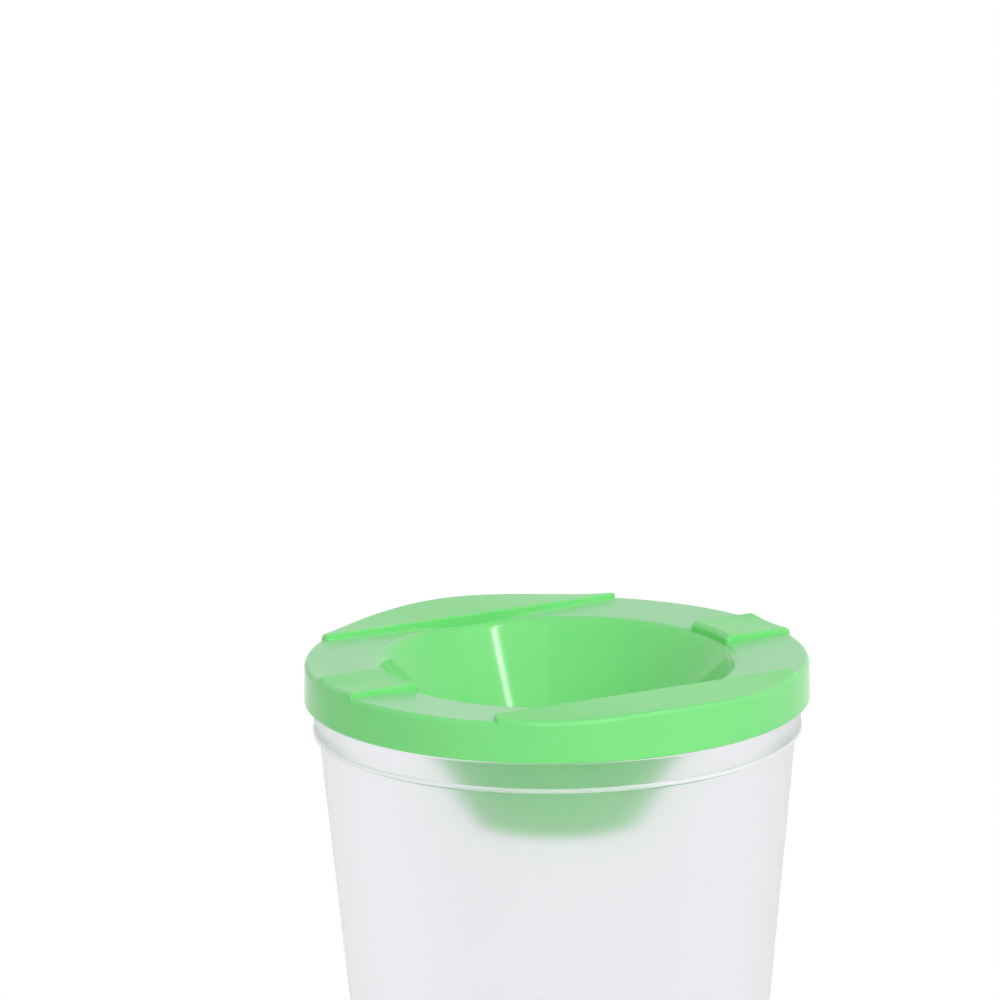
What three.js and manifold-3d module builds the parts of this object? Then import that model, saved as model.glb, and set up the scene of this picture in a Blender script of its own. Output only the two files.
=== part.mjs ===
// Spill-proof brush washer: a frosted, tapered cup and a green lid with a funnel moulded into it.
// Millimetres, +Z up, base centre at the origin, brush channels along X.
import * as THREE from 'three';
import { mergeVertices, toCreasedNormals } from 'three/addons/utils/BufferGeometryUtils.js';
import Module from 'manifold-3d';

const wasm = await Module();
wasm.setup();

// Overall
const overallHeight = 86;
const turnSteps = 96;
const wideRound = 0.8;
const wideSteps = 4;
const smallSteps = 2;
const topSteps = 5;
const segmentSteps = 36;
const barSteps = 8;
const segmentPocketSteps = 20;
const barPocketSteps = 4;
const creaseAngle = 0.5;

// Lid top: two raised segments and two raised bars leave two channels for brushes
const lidTopRadius = 39.9;
const rimRound = 0.8;
const mouthRadius = 28;
const mouthRound = 2.4;
const floorRise = 0.55;
const chordOffset = 28;
const padRise = 1.5;
const padLift = 0.01;
const crownFall = 0.00028;
const padEdge = 0.25;
const padInset = 0.05;
const padSink = 0.6;
const segmentHalfLength = 26.6;
const barHalfWidth = 5.7;
const barFall = 0.045;
const barMouthGap = 0.3;
const channelFloor = overallHeight - padRise - padLift * (lidTopRadius - rimRound - chordOffset);

// Lid skirt and deck
const skirtRadius = 40.05;
const skirtDepth = 5.85;
const skirtWall = 1.1;
const skirtRound = 0.35;
const skirtInner = skirtRadius - skirtWall;
const deckThickness = 1.4;
const deckRound = 0.4;
const deckUnderside = channelFloor - deckThickness;
const snapRidge = 0.2;
const snapRidgeLow = 0.65;
const snapRidgeFlat = 0.3;
const snapRidgeSlope = 0.4;

// Pockets under the raised parts keep the moulding one wall thick
const pocketWall = 1.3;
const pocketRadius = 36.2;
const pocketHalfLength = 20;
const pocketDepth = 1.45;
const pocketRun = 0.2;
const pocketBarStart = 31.2;

// Funnel
const funnelDepth = 24.8;
const spoutRadius = 13.45;
const funnelWall = 1.4;
const spoutRound = 0.5;
const spoutInner = spoutRadius - funnelWall;
const spoutLevel = channelFloor - funnelDepth;
const funnelSlope = (mouthRadius - spoutInner) / funnelDepth;

// Fit of the lid on the cup
const seatClearance = 0.1;
const skirtClearance = 0.3;
const snapClearance = 0.2;

// Cup rim, neck and collar
const rimLevel = deckUnderside - seatClearance;
const beadRadius = skirtInner - snapRidge - snapClearance;
const beadHeight = 1.3;
const beadSlope = 0.5;
const beadRound = 0.5;
const neckRadius = 38.3;
const collarRadius = 38.7;
const collarTop = channelFloor - skirtDepth - skirtClearance;
const collarDepth = 4.75;
const collarLevel = collarTop - collarDepth;
const collarRound = 0.5;
const collarTopRound = 0.3;
const shelfFall = 0.4;

// Cup wall and base; the inside tapers evenly up to the collar and is upright behind it
const wallTopRadius = 37.75;
const wallTop = collarLevel - shelfFall;
const baseRadius = 30.85;
const baseRound = 1.2;
const cupWall = 1.3;
const baseThickness = 1.6;
const innerBaseRound = 2;
const footRecess = 0.8;
const footInner = 27.8;
const footSlope = 0.8;
const footRound = 0.3;

// Surfaces as the photo shows them
const cupSurface = { color: 0xe4e7e6, roughness: 0.5, metalness: 0 };
const lidSurface = { color: 0x84de86, roughness: 0.32, metalness: 0 };

// A closed or axis-to-axis profile whose corners carry their own rounding
function roundedProfile(corners, closed) {
  const points = [];
  const count = corners.length;
  corners.forEach(([r, z, round], i) => {
    const here = new THREE.Vector2(r, z);
    const atEnd = !closed && (i === 0 || i === count - 1);
    if (!round || atEnd) {
      points.push(here);
      return;
    }
    const [br, bz] = corners[(i + count - 1) % count];
    const [ar, az] = corners[(i + 1) % count];
    const before = new THREE.Vector2(br, bz).sub(here).normalize();
    const after = new THREE.Vector2(ar, az).sub(here).normalize();
    const half = Math.acos(THREE.MathUtils.clamp(before.dot(after), -1, 1)) / 2;
    const reach = round / Math.tan(half);
    const centre = before.clone().add(after).normalize().multiplyScalar(round / Math.sin(half)).add(here);
    const first = before.clone().multiplyScalar(reach).add(here).sub(centre);
    const last = after.clone().multiplyScalar(reach).add(here).sub(centre);
    const sweep = Math.atan2(first.cross(last), first.dot(last));
    const steps = round < wideRound ? smallSteps : wideSteps;
    for (let k = 0; k <= steps; k += 1) {
      points.push(first.clone().rotateAround(new THREE.Vector2(), (sweep * k) / steps).add(centre));
    }
  });
  if (closed) points.push(points[0].clone());
  return points;
}

function revolve(points) {
  const geometry = new THREE.LatheGeometry(points, turnSteps);
  geometry.rotateX(Math.PI / 2);
  return geometry;
}

// A solid body through equal rings of points, with a flat cap at each end
function loft(rings) {
  const size = rings[0].length;
  const positions = rings.flat(2);
  const index = [];
  for (let i = 0; i + 1 < rings.length; i += 1) {
    for (let j = 0; j < size; j += 1) {
      const a = i * size + j;
      const b = i * size + ((j + 1) % size);
      index.push(a, b, b + size, a, b + size, a + size);
    }
  }
  const lastRing = (rings.length - 1) * size;
  for (let j = 1; j + 1 < size; j += 1) {
    index.push(0, j + 1, j);
    index.push(lastRing, lastRing + j, lastRing + j + 1);
  }
  const geometry = new THREE.BufferGeometry();
  geometry.setAttribute('position', new THREE.Float32BufferAttribute(positions, 3));
  geometry.setIndex(index);
  return geometry;
}

// Welded, outward-facing solid of a geometry
function solid(geometry) {
  const bare = new THREE.BufferGeometry();
  bare.setAttribute('position', geometry.getAttribute('position'));
  bare.setIndex(geometry.getIndex());
  const welded = mergeVertices(bare, 1e-5);
  const position = welded.getAttribute('position');
  const source = welded.getIndex().array;
  const triangles = [];
  let volume = 0;
  for (let i = 0; i < source.length; i += 3) {
    const [a, b, c] = [source[i], source[i + 1], source[i + 2]];
    if (a === b || b === c || c === a) continue;
    triangles.push(a, b, c);
    const va = new THREE.Vector3().fromBufferAttribute(position, a);
    const vb = new THREE.Vector3().fromBufferAttribute(position, b);
    const vc = new THREE.Vector3().fromBufferAttribute(position, c);
    volume += va.dot(vb.cross(vc));
  }
  if (volume < 0) triangles.reverse();
  const vertProperties = new Float32Array(position.array);
  return new wasm.Manifold(new wasm.Mesh({ numProp: 3, vertProperties, triVerts: new Uint32Array(triangles) }));
}

function bodyMesh(name, body, surface) {
  const mesh = body.getMesh();
  const geometry = new THREE.BufferGeometry();
  geometry.setAttribute('position', new THREE.Float32BufferAttribute(mesh.vertProperties, 3));
  geometry.setIndex(new THREE.Uint32BufferAttribute(mesh.triVerts, 1));
  const part = new THREE.Mesh(toCreasedNormals(geometry, creaseAngle), new THREE.MeshStandardMaterial(surface));
  part.name = name;
  return part;
}

// Distance along a strip at which the circle of this radius is crossed
function reachOn(radius, across) {
  return Math.sqrt(radius * radius - across * across);
}

// Raised part from startAt to the rim, in strips side by side; place turns it to its side of the lid
function raisedPart(acrossList, startAt, topAt, place) {
  const outer = lidTopRadius - padInset;
  const bottom = channelFloor - padSink;
  const rings = acrossList.map((across) => {
    const start = startAt(across);
    const shoulder = reachOn(outer - rimRound, across);
    const section = [[start, bottom], [start, topAt(across, start) - padEdge]];
    for (let k = 0; k <= topSteps; k += 1) {
      const along = start + padEdge + ((shoulder - start - padEdge) * k) / topSteps;
      section.push([along, topAt(across, along)]);
    }
    for (let k = 1; k <= wideSteps; k += 1) {
      const angle = (Math.PI / 2) * (k / wideSteps);
      const along = reachOn(outer - rimRound * (1 - Math.sin(angle)), across);
      section.push([along, topAt(across, shoulder) - rimRound * (1 - Math.cos(angle))]);
    }
    section.push([reachOn(outer, across), bottom]);
    return section.map(([along, z]) => place(across, along, z));
  });
  return solid(loft(rings));
}

// Pocket cut up into the deck under a raised part
function pocket(acrossList, startAt, place) {
  const low = deckUnderside - pocketRun;
  const high = deckUnderside + pocketDepth;
  const rings = acrossList.map((across) => {
    const start = startAt(across);
    const end = reachOn(pocketRadius, across);
    return [[start, low], [start, high], [end, high], [end, low]].map(([along, z]) => place(across, along, z));
  });
  return solid(loft(rings));
}

function spread(half, steps) {
  return Array.from({ length: steps + 1 }, (_, i) => -half + (2 * half * i) / steps);
}

const toBack = (across, along, z) => [across, along, z];
const toFront = (across, along, z) => [-across, -along, z];
const toRight = (across, along, z) => [along, -across, z];
const toLeft = (across, along, z) => [-along, across, z];

// Segment tops rise a little toward the middle of the rim and fall off toward both ends
function segmentTop(across, along) {
  return channelFloor + padRise + (padLift - crownFall * across * across) * (along - chordOffset);
}

// Bar tops are level along their edges and dip toward the rim between them
function barTop(across, along) {
  const middle = 1 - (across / barHalfWidth) ** 2;
  return channelFloor + padRise - barFall * middle * (along - mouthRadius);
}

function buildLid() {
  const rimFloor = channelFloor + floorRise;
  const ridgeBottom = channelFloor - skirtDepth + snapRidgeLow;
  const ridgeTop = ridgeBottom + 2 * snapRidgeSlope + snapRidgeFlat;
  const profile = roundedProfile([
    [spoutInner, spoutLevel, spoutRound],
    [mouthRadius, channelFloor, mouthRound],
    [lidTopRadius, rimFloor, rimRound],
    [skirtRadius, channelFloor - skirtDepth, skirtRound],
    [skirtInner, channelFloor - skirtDepth, skirtRound],
    [skirtInner, ridgeBottom],
    [skirtInner - snapRidge, ridgeBottom + snapRidgeSlope],
    [skirtInner - snapRidge, ridgeBottom + snapRidgeSlope + snapRidgeFlat],
    [skirtInner, ridgeTop],
    [skirtInner, deckUnderside, deckRound],
    [mouthRadius + funnelWall - funnelSlope * deckThickness, deckUnderside, deckRound],
    [spoutRadius, spoutLevel, spoutRound],
  ], true);
  const segmentAcross = spread(segmentHalfLength, segmentSteps);
  const barAcross = spread(barHalfWidth, barSteps);
  const barStart = (across) => reachOn(mouthRadius + barMouthGap, across);
  const raised = [
    raisedPart(segmentAcross, () => chordOffset, segmentTop, toBack),
    raisedPart(segmentAcross, () => chordOffset, segmentTop, toFront),
    raisedPart(barAcross, barStart, barTop, toRight),
    raisedPart(barAcross, barStart, barTop, toLeft),
  ];
  const pocketAcross = spread(pocketHalfLength, segmentPocketSteps);
  const pocketBarAcross = spread(barHalfWidth - pocketWall, barPocketSteps);
  const pockets = [
    pocket(pocketAcross, () => chordOffset + pocketWall, toBack),
    pocket(pocketAcross, () => chordOffset + pocketWall, toFront),
    pocket(pocketBarAcross, () => pocketBarStart, toRight),
    pocket(pocketBarAcross, () => pocketBarStart, toLeft),
  ];
  const joined = raised.reduce((body, part) => body.add(part), solid(revolve(profile)));
  return pockets.reduce((body, cut) => body.subtract(cut), joined);
}

function buildCup() {
  const innerBase = footRecess + baseThickness;
  const wallSlope = (wallTopRadius - baseRadius) / wallTop;
  const bandInner = baseRadius - cupWall + wallSlope * collarLevel;
  const profile = roundedProfile([
    [0, footRecess],
    [footInner - footSlope, footRecess, footRound],
    [footInner, 0, footRound],
    [baseRadius, 0, baseRound],
    [wallTopRadius, wallTop],
    [collarRadius, collarLevel, collarRound],
    [collarRadius, collarTop, collarTopRound],
    [neckRadius, collarTop],
    [neckRadius, rimLevel - beadHeight - beadSlope],
    [beadRadius, rimLevel - beadHeight],
    [beadRadius, rimLevel, beadRound],
    [bandInner, rimLevel, beadRound],
    [bandInner, collarLevel],
    [baseRadius - cupWall + wallSlope * innerBase, innerBase, innerBaseRound],
    [0, innerBase],
  ], false);
  return solid(revolve(profile));
}

const brushWasher = new THREE.Group();
brushWasher.name = 'brush_washer';
brushWasher.add(bodyMesh('cup', buildCup(), cupSurface));
brushWasher.add(bodyMesh('lid', buildLid(), lidSurface));

export default brushWasher;
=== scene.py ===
# Looks of the brush washer: a frosted cup and a light green lid with a funnel.
# Metres, in the CAD's frame: +Z up, base centre at the origin, brush channels along X.
import math

import bmesh
import bpy
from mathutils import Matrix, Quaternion, Vector

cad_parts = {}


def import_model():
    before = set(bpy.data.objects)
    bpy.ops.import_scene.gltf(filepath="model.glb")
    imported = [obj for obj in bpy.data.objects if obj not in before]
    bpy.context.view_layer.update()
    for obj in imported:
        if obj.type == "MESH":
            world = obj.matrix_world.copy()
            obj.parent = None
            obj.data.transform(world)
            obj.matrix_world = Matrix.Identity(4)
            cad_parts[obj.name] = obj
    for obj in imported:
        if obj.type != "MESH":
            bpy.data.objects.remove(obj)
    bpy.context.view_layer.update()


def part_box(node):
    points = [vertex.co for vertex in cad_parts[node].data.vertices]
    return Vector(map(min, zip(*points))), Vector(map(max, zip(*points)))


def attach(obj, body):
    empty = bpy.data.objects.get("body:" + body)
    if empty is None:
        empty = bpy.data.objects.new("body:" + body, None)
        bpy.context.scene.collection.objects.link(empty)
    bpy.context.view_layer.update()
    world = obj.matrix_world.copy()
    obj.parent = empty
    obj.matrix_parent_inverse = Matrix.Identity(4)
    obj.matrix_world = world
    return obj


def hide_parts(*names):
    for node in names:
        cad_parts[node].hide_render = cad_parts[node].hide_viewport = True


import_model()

# Units and fineness
MM = 0.001
TURNS = 240
ARC_STEPS = 7
TOP_STEPS = 8
SEGMENT_STEPS = 64
BAR_STEPS = 14
SEGMENT_POCKET_STEPS = 40
BAR_POCKET_STEPS = 8
CREASE = math.radians(32)

# A guard point stands this far beside each rounding, so that the face next to it is shaded flat
GUARD = 0.12 * MM

# Points closer than this become one
WELD = 0.002 * MM

# Lid, from the CAD's own box and sizes
LID_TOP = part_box("lid")[1].z
LID_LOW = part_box("lid")[0].z
PAD_RISE = 1.5 * MM
PAD_LIFT = 0.01
CROWN_FALL = 0.00028 / MM ** 2
CHORD = 28 * MM
TOP_RADIUS = 39.9 * MM
RIM_ROUND = 0.8 * MM
SHOULDER = TOP_RADIUS - RIM_ROUND
FLOOR = LID_TOP - PAD_RISE - PAD_LIFT * (SHOULDER - CHORD)
FLOOR_RISE = 0.55 * MM
MOUTH = 28 * MM
MOUTH_ROUND = 2.4 * MM
SKIRT_RADIUS = 40.05 * MM
SKIRT_DEPTH = 5.85 * MM
SKIRT_WALL = 1.1 * MM
SKIRT_INNER = SKIRT_RADIUS - SKIRT_WALL
LIP_ROUND = 0.35 * MM
DECK = 1.4 * MM
UNDERSIDE = FLOOR - DECK
INNER_ROUND = 0.4 * MM
RIDGE = 0.2 * MM
RIDGE_LOW = 0.65 * MM
RIDGE_SLOPE = 0.4 * MM
RIDGE_FLAT = 0.3 * MM
SPOUT = 13.45 * MM
SPOUT_ROUND = 0.5 * MM
FUNNEL_WALL = 1.4 * MM
SPOUT_INNER = SPOUT - FUNNEL_WALL
FUNNEL_SLOPE = (MOUTH - SPOUT_INNER) / (FLOOR - LID_LOW)

# Raised parts of the lid
SEGMENT_HALF = 26.6 * MM
BAR_HALF = 5.7 * MM
BAR_FALL = 0.045
BAR_GAP = 0.3 * MM
EDGE_ROUND = 0.3 * MM
BAR_INNER_ROUND = 1.0 * MM
PLAN_ROUND = 0.5 * MM
FOOT = 0.3 * MM
FOOT_FADE = (6 * MM, 10 * MM)
SINK = 0.6 * MM
PROUD = 0.004 * MM
POCKET_WALL = 1.3 * MM
POCKET_RADIUS = 36.2 * MM
POCKET_HALF = 20 * MM
POCKET_DEPTH = 1.45 * MM
POCKET_RUN = 0.2 * MM
POCKET_BAR_START = 31.2 * MM

# Cup
CUP_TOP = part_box("cup")[1].z
COLLAR_RADIUS = 38.7 * MM
COLLAR_GAP = 0.3 * MM
COLLAR_HEIGHT = 4.75 * MM
COLLAR_TOP = FLOOR - SKIRT_DEPTH - COLLAR_GAP
COLLAR_LEVEL = COLLAR_TOP - COLLAR_HEIGHT
EDGE_BEAD = 0.15 * MM
EDGE_BEAD_HEIGHT = 0.6 * MM
EDGE_BEAD_ROUND = 0.28 * MM
SHELF_FALL = 0.4 * MM
CUP_WALL = 1.3 * MM
NECK_RADIUS = 38.3 * MM
SNAP_GAP = 0.2 * MM
BEAD_RADIUS = SKIRT_INNER - RIDGE - SNAP_GAP
BEAD_HEIGHT = 1.3 * MM
BEAD_ROUND = 0.5 * MM
WALL_RADIUS = 37.75 * MM
WALL_TOP = COLLAR_LEVEL - SHELF_FALL
STEP_ROUND = 0.1 * MM
BASE_RADIUS = 30.85 * MM
BASE_ROUND = 1.2 * MM
BASE_WALL = 1.6 * MM
BASE_INNER_ROUND = 2 * MM
FOOT_RECESS = 0.8 * MM
FOOT_INNER = 27.8 * MM
SMALL_ROUND = 0.3 * MM

# Green finish: widths of the melt's flow, the skin's grain and the streaks of painted sheen on the channel
# floors, depth of the glow
GREEN_FLOW = 22 * MM
SKIN_GRAIN = 0.8 * MM
SKIN_DEPTH = 0.01 * MM
GLOW_DEPTH = 0.8 * MM
SHEEN_STREAK_LENGTH = 9 * MM
SHEEN_STREAK_WIDTH = 0.7 * MM
POLISHED = (0.1, 0.14)
MATT_TOP = 0.33

# Green finish: where a channel ends below the tops, how upright a flat top's normal is, how much painted
# sheen the channel floors take
CHANNEL_FADE = (FLOOR + 0.5 * PAD_RISE, FLOOR + 0.7 * PAD_RISE)
FLAT_FADE = (0.9, 0.99)
SHEEN_STREAK_FADE = (0.3, 0.7)
# How much paler and bluish-white the channel floors turn: a painted sheen of the white surroundings
CHANNEL_SHEEN = (0.23, 0.31)

# Frosted finish: width of the melt's flow, roughness of the two sides, share of light that the wall
# scatters, lower in the band under the lid as painted shade and higher along the collar's lower edge as a
# painted highlight
FROSTED_FLOW = 30 * MM
SPARK_ERODED = (0.28, 0.31)
CORE_POLISH = 0.15
WALL_VEIL = 0.1
# The band under the lid scatters less, which paints in the lid's shade on it
BAND_SHADE_VEIL = 0.05
VEIL_FADE = 0.35
# The collar's lower edge scatters more on the outside: a painted highlight along it
RING_HIGHLIGHT_VEIL = 0.44
RING_HIGHLIGHT_FADE = (0.4 * EDGE_BEAD_HEIGHT, 0.7 * EDGE_BEAD_HEIGHT)

# The stored attribute that is 1 on the side that the mould's core forms
CORE_SIDE = "core_side"

# The photograph's camera: 1 m from the middle of the lid's channel floor
TARGET = Vector((0, 0, FLOOR))
CAMERA_DISTANCE = 1.0
CAMERA_AZIMUTH = math.radians(-28.81)
CAMERA_ELEVATION = math.radians(14.723)
CAMERA_ROLL = math.radians(0.56)
FOCAL_PIXELS = 6322.95
FRAME_PIXELS = 1000
LID_PIXEL = (556.7, 660.32)
SENSOR = 36
CLIP = (0.05, 20)

# Studio: a paper sweep whose shadow fades to plain white between two radii, in a dim white room
FLOOR_HALF = 3.0
SHADOW_FADE = (45 * MM, 85 * MM)
ROOM_LEVEL = 0.42
LAMP_DISTANCE = 1.2

# Lamps: name, direction as the photograph sees it (right, away, up), width, height, level
LAMPS = (
    ("key_softbox", (0.54, -0.44, 0.714), 1.2, 1.2, 0.22),
    ("strip_light", (0.564, -0.422, 0.710), 0.008, 0.6, 0.16),
    ("front_softbox", (0.1, -0.935, 0.34), 0.8, 0.8, 0.33),
    ("left_softbox", (-0.82, 0.38, 0.42), 1.4, 0.8, 0.07),
    ("right_softbox", (0.72, 0.6, 0.34), 1.6, 1.0, 0.07),
)


def srgb(code):
    """A colour written as an sRGB hex value, turned to linear."""
    parts = [int(code[i:i + 2], 16) / 255 for i in (1, 3, 5)]
    return [c / 12.92 if c <= 0.04045 else ((c + 0.055) / 1.055) ** 2.4 for c in parts] + [1]


def add(tree, kind, inputs=None, **settings):
    """Adds a node with its settings; an input is a number, a colour or the socket that feeds it."""
    made = tree.nodes.new(kind)
    for key, value in settings.items():
        setattr(made, key, value)
    for key, value in (inputs or {}).items():
        if isinstance(value, bpy.types.NodeSocket):
            tree.links.new(value, made.inputs[key])
        else:
            made.inputs[key].default_value = value
    return made


# Profiles and turned bodies

def rounded(corners, closed):
    """A profile's points: corners (radius, height, rounding) become arcs between guard points."""
    points = []
    count = len(corners)
    for i, (r, z, *rest) in enumerate(corners):
        here = Vector((r, z))
        if not rest or (not closed and i in (0, count - 1)):
            points.append(here)
            continue
        before = (Vector(corners[i - 1][:2]) - here).normalized()
        after = (Vector(corners[(i + 1) % count][:2]) - here).normalized()
        half = math.acos(max(-1, min(1, before.dot(after)))) / 2
        reach = rest[0] / math.tan(half)
        centre = here + (before + after).normalized() * (rest[0] / math.sin(half))
        first = here + before * reach - centre
        last = here + after * reach - centre
        sweep = math.atan2(first.x * last.y - first.y * last.x, first.dot(last))
        points.append(here + before * (reach + GUARD))
        for k in range(ARC_STEPS + 1):
            turn = sweep * k / ARC_STEPS
            points.append(centre + Vector((
                first.x * math.cos(turn) - first.y * math.sin(turn),
                first.x * math.sin(turn) + first.y * math.cos(turn))))
        points.append(here + after * (reach + GUARD))
    return points + points[:1] if closed else points


def turning_tree():
    """Geometry nodes that turn a profile about the Z axis: a grid's rows take the profile's points."""
    tree = bpy.data.node_groups.new("turned_profile", "GeometryNodeTree")
    wanted = {"Profile": "Geometry", "Turns": "Int", "Weld distance": "Float",
              "Core side from row": "Int", "Finish": "Material"}
    for name, kind in wanted.items():
        tree.interface.new_socket(name, in_out="INPUT", socket_type="NodeSocket" + kind)
    tree.interface.new_socket("Body", in_out="OUTPUT", socket_type="NodeSocketGeometry")
    given = add(tree, "NodeGroupInput").outputs
    size = add(tree, "GeometryNodeAttributeDomainSize", {"Geometry": given["Profile"]})
    rows = size.outputs["Point Count"]
    columns = add(tree, "ShaderNodeMath", {0: given["Turns"], 1: 1.0}, operation="ADD")
    grid = add(tree, "GeometryNodeMeshGrid",
               {"Size X": 1.0, "Size Y": 1.0, "Vertices X": columns.outputs[0], "Vertices Y": rows})
    place = add(tree, "GeometryNodeInputPosition").outputs[0]
    across = add(tree, "ShaderNodeSeparateXYZ", {0: place}).outputs
    angle = add(tree, "ShaderNodeMath", {0: across["X"], 1: math.tau, 2: math.pi},
                operation="MULTIPLY_ADD")
    last = add(tree, "ShaderNodeMath", {0: rows, 1: 1.0}, operation="SUBTRACT")
    share = add(tree, "ShaderNodeMath", {0: across["Y"], 1: 0.5}, operation="ADD")
    row = add(tree, "ShaderNodeMath", {0: share.outputs[0], 1: last.outputs[0]}, operation="MULTIPLY")
    whole = add(tree, "ShaderNodeMath", {0: row.outputs[0]}, operation="ROUND").outputs[0]
    point = add(tree, "GeometryNodeSampleIndex",
                {"Geometry": given["Profile"], "Value": place, "Index": whole},
                data_type="FLOAT_VECTOR", domain="POINT")
    turned = add(tree, "ShaderNodeVectorRotate",
                 {"Vector": point.outputs["Value"], "Angle": angle.outputs[0]},
                 rotation_type="Z_AXIS")
    inner = add(tree, "FunctionNodeCompare", {"A": whole, "B": given["Core side from row"]},
                data_type="FLOAT", operation="GREATER_EQUAL")
    marked = add(tree, "GeometryNodeStoreNamedAttribute",
                 {"Geometry": grid.outputs["Mesh"], "Name": CORE_SIDE, "Value": inner.outputs[0]},
                 data_type="FLOAT", domain="POINT")
    moved = add(tree, "GeometryNodeSetPosition",
                {"Geometry": marked.outputs[0], "Position": turned.outputs[0]})
    welded = add(tree, "GeometryNodeMergeByDistance",
                 {"Geometry": moved.outputs[0], "Distance": given["Weld distance"]})
    real = add(tree, "GeometryNodeRealizeInstances", {"Geometry": welded.outputs[0]})
    finished = add(tree, "GeometryNodeSetMaterial",
                   {"Geometry": real.outputs[0], "Material": given["Finish"]})
    add(tree, "NodeGroupOutput", {"Body": finished.outputs[0]})
    return tree


def plain_object(name, mesh):
    made = bpy.data.objects.new(name, mesh)
    bpy.context.scene.collection.objects.link(made)
    return made


def settled(worked, name, finish):
    """The evaluated shape as a plain mesh of one finish, without modifiers, its faces outwards."""
    evaluated = worked.evaluated_get(bpy.context.evaluated_depsgraph_get())
    mesh = bpy.data.meshes.new_from_object(evaluated)
    mesh.materials.clear()
    mesh.materials.append(finish)
    old = worked.data
    bpy.data.objects.remove(worked)
    bpy.data.meshes.remove(old)
    shape = bmesh.new()
    shape.from_mesh(mesh)
    bmesh.ops.remove_doubles(shape, verts=shape.verts, dist=WELD)
    bmesh.ops.dissolve_degenerate(shape, edges=shape.edges, dist=WELD / 2)
    bmesh.ops.recalc_face_normals(shape, faces=shape.faces)
    shape.to_mesh(mesh)
    shape.free()
    mesh.name = name
    mesh.shade_smooth()
    mesh.set_sharp_from_angle(angle=CREASE)
    return plain_object(name, mesh)


def turned_body(name, profile, core_start, tree, finish):
    """Turns a profile into a closed body. The mould's core forms it from the point nearest
    core_start on."""
    mesh = bpy.data.meshes.new(name)
    steps = [(i, i + 1) for i in range(len(profile) - 1)]
    mesh.from_pydata([(p.x, 0, p.y) for p in profile], steps, [])
    worked = plain_object(name + "_profile", mesh)
    rule = worked.modifiers.new("turn", "NODES")
    rule.node_group = tree
    nearest = min(range(len(profile)), key=lambda i: (profile[i] - Vector(core_start)).length)
    given = {"Turns": TURNS, "Weld distance": WELD, "Core side from row": nearest, "Finish": finish}
    for item in tree.interface.items_tree:
        if item.in_out == "INPUT" and item.name in given:
            rule[item.identifier] = given[item.name]
    return settled(worked, name, finish)


# Raised parts and pockets of the lid

def reach_on(radius, across):
    return math.sqrt(radius * radius - across * across)


def floor_level(across, along):
    share = (math.hypot(across, along) - MOUTH) / (TOP_RADIUS - MOUTH)
    return FLOOR + FLOOR_RISE * share


def segment_top(across, along):
    """A top that climbs outwards in its middle, and less so, then falls, towards its ends."""
    return FLOOR + PAD_RISE + (PAD_LIFT - CROWN_FALL * across * across) * (along - CHORD)


def bar_top(across, along):
    """A top that falls outwards in its middle, so that a shallow dish runs along it."""
    middle = 1 - (across / BAR_HALF) ** 2
    return FLOOR + PAD_RISE - BAR_FALL * middle * (along - MOUTH)


def smooth_share(value, low, high):
    t = max(0, min(1, (value - low) / (high - low)))
    return t * t * (3 - 2 * t)


def edge_stations(half, steps):
    """Places across a raised part, closer at both ends, each with how far its end has rounded."""
    inner = half - PLAN_ROUND
    middle = [(-inner + 2 * inner * i / steps, 0.0) for i in range(steps + 1)]
    ends = [math.pi / 2 * k / ARC_STEPS for k in range(1, ARC_STEPS + 1)]
    right = [(inner + PLAN_ROUND * math.sin(a), 1 - math.cos(a)) for a in ends]
    left = [(-x, share) for x, share in reversed(right)]
    return left + middle + right


def raised_section(across, start, drop, foot, top_at, start_round):
    """One section of a raised part: foot, inner wall, rounded edges, top, rim and outer wall."""
    shoulder = reach_on(SHOULDER, across)
    base = floor_level(across, start - foot)
    quarter = [math.pi / 2 * k / ARC_STEPS for k in range(ARC_STEPS + 1)]
    section = [(start - foot, base - SINK), (start - foot, base - WELD)]
    for a in quarter:
        section.append((start - foot * (1 - math.sin(a)), base + foot * (1 - math.cos(a))))
    edge = top_at(across, start) - drop
    section.append((start, edge - start_round - GUARD))
    for a in quarter:
        along = start + start_round * (1 - math.cos(a))
        section.append((along, edge - start_round * (1 - math.sin(a))))
    first = min(start + start_round + GUARD, shoulder)
    for k in range(TOP_STEPS + 1):
        along = first + max(0, shoulder - GUARD - first) * k / TOP_STEPS
        section.append((along, top_at(across, along) - drop))
    level = top_at(across, shoulder) - drop
    for a in quarter:
        radius = TOP_RADIUS - RIM_ROUND * (1 - math.sin(a)) + PROUD
        section.append((reach_on(radius, across), level - RIM_ROUND * (1 - math.cos(a))))
    low = FLOOR + FLOOR_RISE - RIM_ROUND
    draft = (SKIRT_RADIUS - TOP_RADIUS) / (FLOOR_RISE + SKIRT_DEPTH)
    section.append((reach_on(TOP_RADIUS + draft * RIM_ROUND + PROUD, across), low))
    section.append((shoulder, low - SINK))
    return section


def lofted(sections, places):
    """Closed solids through equal sections, one for each placing of them on the lid."""
    shape = bmesh.new()
    for place in places:
        rings = []
        for across, section in sections:
            rings.append([shape.verts.new(place(across, along, z)) for along, z in section])
        size = len(rings[0])
        for ring, following in zip(rings, rings[1:]):
            for j in range(size):
                k = (j + 1) % size
                shape.faces.new((ring[j], ring[k], following[k], following[j]))
        shape.faces.new(rings[0])
        shape.faces.new(rings[-1])
    bmesh.ops.remove_doubles(shape, verts=shape.verts, dist=WELD / 4)
    bmesh.ops.recalc_face_normals(shape, faces=shape.faces)
    mesh = bpy.data.meshes.new("tool")
    shape.to_mesh(mesh)
    shape.free()
    return mesh


def to_back(across, along, z):
    return (across, along, z)


def to_front(across, along, z):
    return (-across, -along, z)


def to_right(across, along, z):
    return (along, -across, z)


def to_left(across, along, z):
    return (-along, across, z)


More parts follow.
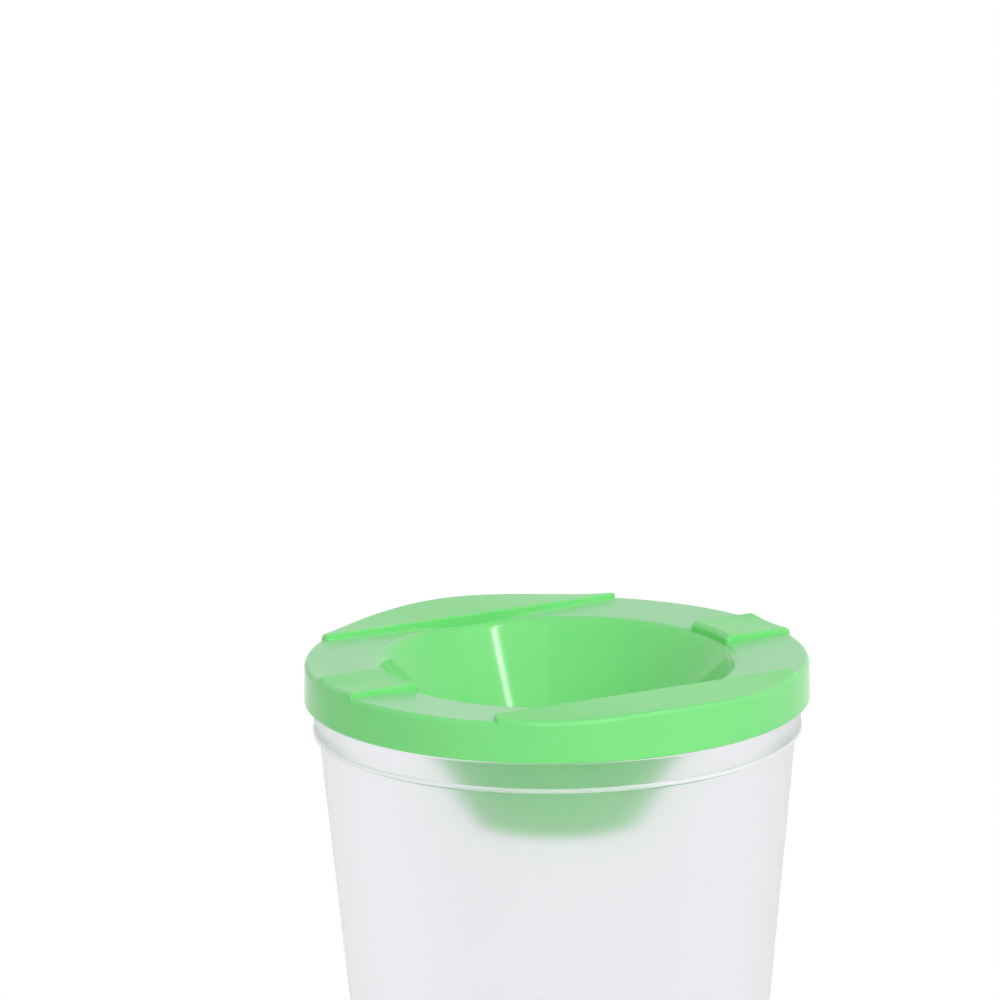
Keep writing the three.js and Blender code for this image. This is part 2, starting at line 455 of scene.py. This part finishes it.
def raised_segments():
    sections = []
    for across, share in edge_stations(SEGMENT_HALF, SEGMENT_STEPS):
        start = CHORD + PLAN_ROUND * share
        foot = FOOT * smooth_share(abs(across), *FOOT_FADE)
        inner_round = EDGE_ROUND * (1 - share / 2)
        section = raised_section(across, start, EDGE_ROUND * share, foot, segment_top, inner_round)
        sections.append((across, section))
    return lofted(sections, (to_back, to_front))


def raised_bars():
    sections = []
    for across, share in edge_stations(BAR_HALF, BAR_STEPS):
        start = reach_on(MOUTH + BAR_GAP, across) + PLAN_ROUND * share
        section = raised_section(across, start, EDGE_ROUND * share, 0, bar_top, BAR_INNER_ROUND)
        sections.append((across, section))
    return lofted(sections, (to_right, to_left))


def pocket_sections(half, steps, start):
    low = UNDERSIDE - POCKET_RUN
    high = UNDERSIDE + POCKET_DEPTH
    sections = []
    for i in range(steps + 1):
        across = -half + 2 * half * i / steps
        end = reach_on(POCKET_RADIUS, across)
        sections.append((across, [(start, low), (start, high), (end, high), (end, low)]))
    return sections


def segment_pockets():
    sections = pocket_sections(POCKET_HALF, SEGMENT_POCKET_STEPS, CHORD + POCKET_WALL)
    return lofted(sections, (to_back, to_front))


def bar_pockets():
    sections = pocket_sections(BAR_HALF - POCKET_WALL, BAR_POCKET_STEPS, POCKET_BAR_START)
    return lofted(sections, (to_right, to_left))


def combined(body, name, finish, steps):
    """Joins and cuts the body by each tool mesh in turn."""
    tools = []
    for i, (operation, mesh) in enumerate(steps):
        tool = plain_object(f"tool_{i}", mesh)
        tool.hide_render = True
        cut = body.modifiers.new(tool.name, "BOOLEAN")
        cut.operation = operation
        cut.solver = "MANIFOLD"
        cut.object = tool
        tools.append(tool)
    made = settled(body, name, finish)
    for tool in tools:
        mesh = tool.data
        bpy.data.objects.remove(tool)
        bpy.data.meshes.remove(mesh)
    return made


# The two pieces

def lid(tree, finish):
    rim = FLOOR + FLOOR_RISE
    hem = FLOOR - SKIRT_DEPTH
    ridge_low = hem + RIDGE_LOW
    ridge = SKIRT_INNER - RIDGE
    under_mouth = MOUTH + FUNNEL_WALL - FUNNEL_SLOPE * DECK
    profile = rounded([
        (SPOUT_INNER, LID_LOW, SPOUT_ROUND),
        (MOUTH, FLOOR, MOUTH_ROUND),
        (TOP_RADIUS, rim, RIM_ROUND),
        (SKIRT_RADIUS, hem, LIP_ROUND),
        (SKIRT_INNER, hem, LIP_ROUND),
        (SKIRT_INNER, ridge_low),
        (ridge, ridge_low + RIDGE_SLOPE),
        (ridge, ridge_low + RIDGE_SLOPE + RIDGE_FLAT),
        (SKIRT_INNER, ridge_low + 2 * RIDGE_SLOPE + RIDGE_FLAT),
        (SKIRT_INNER, UNDERSIDE, INNER_ROUND),
        (under_mouth, UNDERSIDE, INNER_ROUND),
        (SPOUT, LID_LOW, SPOUT_ROUND),
    ], True)
    body = turned_body("lid_body", profile, (SKIRT_INNER, hem), tree, finish)
    return combined(body, "green_lid", finish, [
        ("UNION", raised_segments()),
        ("UNION", raised_bars()),
        ("DIFFERENCE", segment_pockets()),
        ("DIFFERENCE", bar_pockets()),
    ])


def cup(tree, finish):
    """The inside tapers evenly up to the collar, and is upright behind it."""
    inner_base = FOOT_RECESS + BASE_WALL
    taper = (WALL_RADIUS - BASE_RADIUS) / WALL_TOP
    band_inner = BASE_RADIUS - CUP_WALL + taper * COLLAR_LEVEL
    profile = rounded([
        (0, FOOT_RECESS),
        (FOOT_INNER - FOOT_RECESS, FOOT_RECESS, SMALL_ROUND),
        (FOOT_INNER, 0, SMALL_ROUND),
        (BASE_RADIUS, 0, BASE_ROUND),
        (WALL_RADIUS, WALL_TOP, STEP_ROUND),
        (COLLAR_RADIUS, COLLAR_LEVEL, EDGE_BEAD_ROUND),
        (COLLAR_RADIUS, COLLAR_LEVEL + EDGE_BEAD_HEIGHT, EDGE_BEAD_ROUND),
        (COLLAR_RADIUS - EDGE_BEAD, COLLAR_LEVEL + EDGE_BEAD_HEIGHT + EDGE_BEAD, STEP_ROUND),
        (COLLAR_RADIUS - EDGE_BEAD, COLLAR_TOP, SMALL_ROUND),
        (NECK_RADIUS, COLLAR_TOP),
        (NECK_RADIUS, CUP_TOP - BEAD_HEIGHT - BEAD_ROUND),
        (BEAD_RADIUS, CUP_TOP - BEAD_HEIGHT),
        (BEAD_RADIUS, CUP_TOP, BEAD_ROUND),
        (band_inner, CUP_TOP, BEAD_ROUND),
        (band_inner, COLLAR_LEVEL),
        (BASE_RADIUS - CUP_WALL + taper * inner_base, inner_base, BASE_INNER_ROUND),
        (0, inner_base),
    ], False)
    return turned_body("frosted_cup", profile, (BEAD_RADIUS - BEAD_ROUND, CUP_TOP), tree, finish)


# Materials

def new_material(name):
    made = bpy.data.materials.new(name)
    made.use_nodes = True
    made.node_tree.nodes.clear()
    return made, made.node_tree


def green_polypropylene():
    """Polypropylene coloured through and moulded against polished steel: an even, waxy green that
    glows a little at its edges, with a clean gloss and the faint cloudiness of the melt's flow. The
    flat tops are a little matt, and the channel floors carry a painted sheen of the white surroundings,
    paler in streaks."""
    material, tree = new_material("moulded_green_polypropylene")
    coordinates = add(tree, "ShaderNodeTexCoord").outputs
    place = coordinates["Object"]
    level = add(tree, "ShaderNodeSeparateXYZ", {0: place}).outputs["Z"]
    upward = add(tree, "ShaderNodeSeparateXYZ", {0: coordinates["Normal"]}).outputs["Z"]
    cloud = add(tree, "ShaderNodeTexNoise",
                {"Vector": place, "Scale": 1 / GREEN_FLOW, "Detail": 2.0}).outputs["Fac"]
    green = add(tree, "ShaderNodeMix",
                {"Factor": cloud, "A": srgb("#79e17f"), "B": srgb("#83e788")}, data_type="RGBA")
    below_tops = add(tree, "ShaderNodeMapRange",
                     {"Value": level, "From Min": CHANNEL_FADE[0], "From Max": CHANNEL_FADE[1],
                      "To Min": 1.0, "To Max": 0.0}, interpolation_type="SMOOTHSTEP")
    flat = add(tree, "ShaderNodeMapRange",
               {"Value": upward, "From Min": FLAT_FADE[0], "From Max": FLAT_FADE[1]},
               interpolation_type="SMOOTHSTEP").outputs["Result"]
    channel = add(tree, "ShaderNodeMath", {0: below_tops.outputs["Result"], 1: flat},
                  operation="MULTIPLY").outputs[0]
    # The channel floors turn paler and bluish-white in streaks along them: a painted sheen of the white
    # surroundings
    along = add(tree, "ShaderNodeVectorMath", {0: place, 1: (1 / SHEEN_STREAK_LENGTH, 1 / SHEEN_STREAK_WIDTH, 0)},
                operation="MULTIPLY").outputs["Vector"]
    sheen_streaks = add(tree, "ShaderNodeTexNoise", {"Vector": along, "Scale": 1.0, "Detail": 2.0})
    sheen_amount = add(tree, "ShaderNodeMapRange",
               {"Value": sheen_streaks.outputs["Fac"], "From Min": SHEEN_STREAK_FADE[0], "From Max": SHEEN_STREAK_FADE[1],
                "To Min": CHANNEL_SHEEN[0], "To Max": CHANNEL_SHEEN[1]}, interpolation_type="SMOOTHSTEP")
    painted_sheen = add(tree, "ShaderNodeMath", {0: channel, 1: sheen_amount.outputs["Result"]},
                 operation="MULTIPLY").outputs[0]
    colour = add(tree, "ShaderNodeMix",
                 {"Factor": painted_sheen, "A": green.outputs["Result"], "B": srgb("#d2dce1")},
                 data_type="RGBA")
    moulded = add(tree, "ShaderNodeMapRange",
                  {"Value": cloud, "To Min": POLISHED[0], "To Max": POLISHED[1]},
                  interpolation_type="SMOOTHSTEP").outputs["Result"]
    gloss = add(tree, "ShaderNodeMix", {"Factor": flat, "A": moulded, "B": MATT_TOP},
                data_type="FLOAT")
    skin = add(tree, "ShaderNodeTexNoise", {"Vector": place, "Scale": 1 / SKIN_GRAIN, "Detail": 1.0})
    bump = add(tree, "ShaderNodeBump",
               {"Height": skin.outputs["Fac"], "Strength": 0.15, "Distance": SKIN_DEPTH})
    shader = add(tree, "ShaderNodeBsdfPrincipled", {
        "Base Color": colour.outputs["Result"], "Roughness": gloss.outputs["Result"], "IOR": 1.49,
        "Specular IOR Level": 0.4, "Subsurface Weight": 0.3, "Subsurface Radius": (1.0, 1.6, 1.0),
        "Subsurface Scale": GLOW_DEPTH, "Normal": bump.outputs[0]})
    add(tree, "ShaderNodeOutputMaterial", {"Surface": shader.outputs[0]})
    return material


def frosted_polypropylene():
    """Uncoloured polypropylene, milky, moulded against a spark-eroded cavity and a polished core: a
    fine matt outside that blurs what lies behind it more the farther it is from the wall, a smoother
    inside. The band at the top is made a little clearer, as painted shade from the lid, and a milkier strip
    along its lower edge outside is a painted highlight."""
    material, tree = new_material("moulded_frosted_polypropylene")
    place = add(tree, "ShaderNodeTexCoord").outputs["Object"]
    level = add(tree, "ShaderNodeSeparateXYZ", {0: place}).outputs["Z"]
    core = add(tree, "ShaderNodeAttribute", attribute_name=CORE_SIDE).outputs["Fac"]
    cloud = add(tree, "ShaderNodeTexNoise",
                {"Vector": place, "Scale": 1 / FROSTED_FLOW, "Detail": 2.0}).outputs["Fac"]
    colour = add(tree, "ShaderNodeMix",
                 {"Factor": cloud, "A": srgb("#f9f9fb"), "B": srgb("#fafafc")}, data_type="RGBA")
    outside = add(tree, "ShaderNodeMapRange",
                  {"Value": cloud, "To Min": SPARK_ERODED[0], "To Max": SPARK_ERODED[1]},
                  interpolation_type="SMOOTHSTEP").outputs["Result"]
    matt = add(tree, "ShaderNodeMix", {"Factor": core, "A": outside, "B": CORE_POLISH},
               data_type="FLOAT")
    # Less milky in the band under the lid: painted shade of the lid
    milk_and_band_shade = add(tree, "ShaderNodeMapRange",
               {"Value": level, "From Min": COLLAR_LEVEL, "From Max": COLLAR_LEVEL + EDGE_BEAD_HEIGHT,
                "To Min": WALL_VEIL, "To Max": BAND_SHADE_VEIL}, interpolation_type="SMOOTHSTEP")
    facing = add(tree, "ShaderNodeLayerWeight", {"Blend": 0.5}).outputs["Facing"]
    head_on = add(tree, "ShaderNodeMapRange",
                  {"Value": facing, "From Min": 0.0, "From Max": VEIL_FADE,
                   "To Min": 1.0, "To Max": 0.0}, interpolation_type="SMOOTHSTEP")
    veil = add(tree, "ShaderNodeMath", {0: milk_and_band_shade.outputs["Result"], 1: head_on.outputs["Result"]},
               operation="MULTIPLY").outputs[0]
    # Milkier outside along the collar's lower edge: a painted highlight
    off_middle = add(tree, "ShaderNodeMath", {0: level, 1: COLLAR_LEVEL + EDGE_BEAD_HEIGHT / 2},
                     operation="SUBTRACT").outputs[0]
    off_bead = add(tree, "ShaderNodeMath", {0: off_middle}, operation="ABSOLUTE").outputs[0]
    ring_highlight = add(tree, "ShaderNodeMapRange",
               {"Value": off_bead, "From Min": RING_HIGHLIGHT_FADE[0], "From Max": RING_HIGHLIGHT_FADE[1],
                "To Min": RING_HIGHLIGHT_VEIL, "To Max": 0.0}, interpolation_type="SMOOTHSTEP")
    cavity = add(tree, "ShaderNodeMath", {0: 1.0, 1: core}, operation="SUBTRACT").outputs[0]
    edge = add(tree, "ShaderNodeMath", {0: ring_highlight.outputs["Result"], 1: cavity},
               operation="MULTIPLY").outputs[0]
    scattered_and_highlight = add(tree, "ShaderNodeMath", {0: veil, 1: edge}, operation="ADD").outputs[0]
    clear = add(tree, "ShaderNodeMath", {0: 1.0, 1: scattered_and_highlight}, operation="SUBTRACT").outputs[0]
    shader = add(tree, "ShaderNodeBsdfPrincipled", {
        "Base Color": colour.outputs["Result"], "Roughness": matt.outputs["Result"], "IOR": 1.4,
        "Transmission Weight": clear})
    add(tree, "ShaderNodeOutputMaterial", {"Surface": shader.outputs[0]})
    return material


def seen_white(tree, near):
    """How far a ray sees plain white: camera and mirrored rays by the near share, rays through the
    cup fully, and none that a matt surface has scattered, so that white gives no light of its own."""
    path = add(tree, "ShaderNodeLightPath").outputs
    mirrored = add(tree, "ShaderNodeMath", {0: path["Is Camera Ray"], 1: path["Is Glossy Ray"]},
                   operation="MAXIMUM").outputs[0]
    shared = add(tree, "ShaderNodeMath", {0: mirrored, 1: near}, operation="MULTIPLY").outputs[0]
    plain = add(tree, "ShaderNodeMath", {0: shared, 1: path["Is Transmission Ray"]},
                operation="MAXIMUM").outputs[0]
    direct = add(tree, "ShaderNodeMath", {0: path["Diffuse Depth"], 1: 0.5},
                 operation="LESS_THAN").outputs[0]
    return add(tree, "ShaderNodeMath", {0: plain, 1: direct}, operation="MULTIPLY").outputs[0]


def studio_paper():
    """Matt white paper: it takes the shadow near the object and burns out to white farther off."""
    material, tree = new_material("white_paper")
    place = add(tree, "ShaderNodeTexCoord").outputs["Object"]
    radius = add(tree, "ShaderNodeVectorMath", {0: place}, operation="LENGTH").outputs["Value"]
    far = add(tree, "ShaderNodeMapRange",
              {"Value": radius, "From Min": SHADOW_FADE[0], "From Max": SHADOW_FADE[1]},
              interpolation_type="SMOOTHSTEP").outputs["Result"]
    burnt = seen_white(tree, far)
    paper = add(tree, "ShaderNodeBsdfDiffuse", {"Color": srgb("#f4f4f4")})
    white = add(tree, "ShaderNodeEmission", {"Color": srgb("#ffffff"), "Strength": 1.0})
    mixed = add(tree, "ShaderNodeMixShader", {0: burnt, 1: paper.outputs[0], 2: white.outputs[0]})
    add(tree, "ShaderNodeOutputMaterial", {"Surface": mixed.outputs[0]})
    return material


# Stage, light and camera

def aligned(right, away, up):
    """A direction as the photograph sees it, in the part's frame."""
    cosine = math.cos(CAMERA_AZIMUTH)
    sine = math.sin(CAMERA_AZIMUTH)
    return Vector((right * cosine - away * sine, right * sine + away * cosine, up)).normalized()


def floor():
    corners = [(x * FLOOR_HALF, y * FLOOR_HALF, 0) for x, y in ((-1, -1), (1, -1), (1, 1), (-1, 1))]
    mesh = bpy.data.meshes.new("floor")
    mesh.from_pydata(corners, [], [(0, 1, 2, 3)])
    mesh.materials.append(studio_paper())
    plain_object("floor", mesh)


def world():
    made = bpy.data.worlds.new("studio")
    bpy.context.scene.world = made
    made.use_nodes = True
    tree = made.node_tree
    tree.nodes.clear()
    room = add(tree, "ShaderNodeBackground", {"Color": srgb("#ffffff"), "Strength": ROOM_LEVEL})
    white = add(tree, "ShaderNodeBackground", {"Color": srgb("#ffffff"), "Strength": 1.0})
    mixed = add(tree, "ShaderNodeMixShader",
                {0: seen_white(tree, 1.0), 1: room.outputs[0], 2: white.outputs[0]})
    add(tree, "ShaderNodeOutputWorld", {"Surface": mixed.outputs[0]})


def lamp(name, direction, width, height, level):
    """An area lamp that gives a white surface facing it the stated level, where 1 is plain white."""
    light = bpy.data.lights.new(name, "AREA")
    light.shape = "RECTANGLE"
    light.size = width
    light.size_y = height
    light.energy = level * (math.pi * LAMP_DISTANCE) ** 2
    made = plain_object(name, light)
    made.location = TARGET + direction * LAMP_DISTANCE
    made.rotation_mode = "QUATERNION"
    made.rotation_quaternion = (-direction).to_track_quat("-Z", "Y")
    made.visible_camera = False


def camera():
    data = bpy.data.cameras.new("camera")
    data.sensor_width = SENSOR
    data.lens = FOCAL_PIXELS / FRAME_PIXELS * SENSOR
    data.clip_start, data.clip_end = CLIP
    made = plain_object("camera", data)
    back = aligned(0, -math.cos(CAMERA_ELEVATION), math.sin(CAMERA_ELEVATION))
    made.location = TARGET + back * CAMERA_DISTANCE
    middle = FRAME_PIXELS / 2
    across = (LID_PIXEL[0] - middle) / FOCAL_PIXELS
    upward = (middle - LID_PIXEL[1]) / FOCAL_PIXELS
    turn = Vector((0, 0, -1)).rotation_difference(Vector((across, upward, -1)))
    roll = Quaternion((0, 0, 1), CAMERA_ROLL)
    made.rotation_mode = "QUATERNION"
    made.rotation_quaternion = (-back).to_track_quat("-Z", "Y") @ roll.inverted() @ turn.inverted()
    bpy.context.scene.camera = made


turning = turning_tree()
green_lid = lid(turning, green_polypropylene())
frosted_cup = cup(turning, frosted_polypropylene())
for piece, node in ((green_lid, "lid"), (frosted_cup, "cup")):
    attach(piece, node)
    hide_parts(node)

floor()
world()
for name, direction, width, height, level in LAMPS:
    lamp(name, aligned(*direction), width, height, level)
camera()
bpy.context.scene.view_settings.view_transform = "Standard"

# Light crosses the frosted wall many times; fewer bounces, or softened ones, turn the cup grey
light_paths = bpy.context.scene.cycles
light_paths.blur_glossy = 0.0
light_paths.max_bounces = 32
light_paths.glossy_bounces = 16
light_paths.transmission_bounces = 16
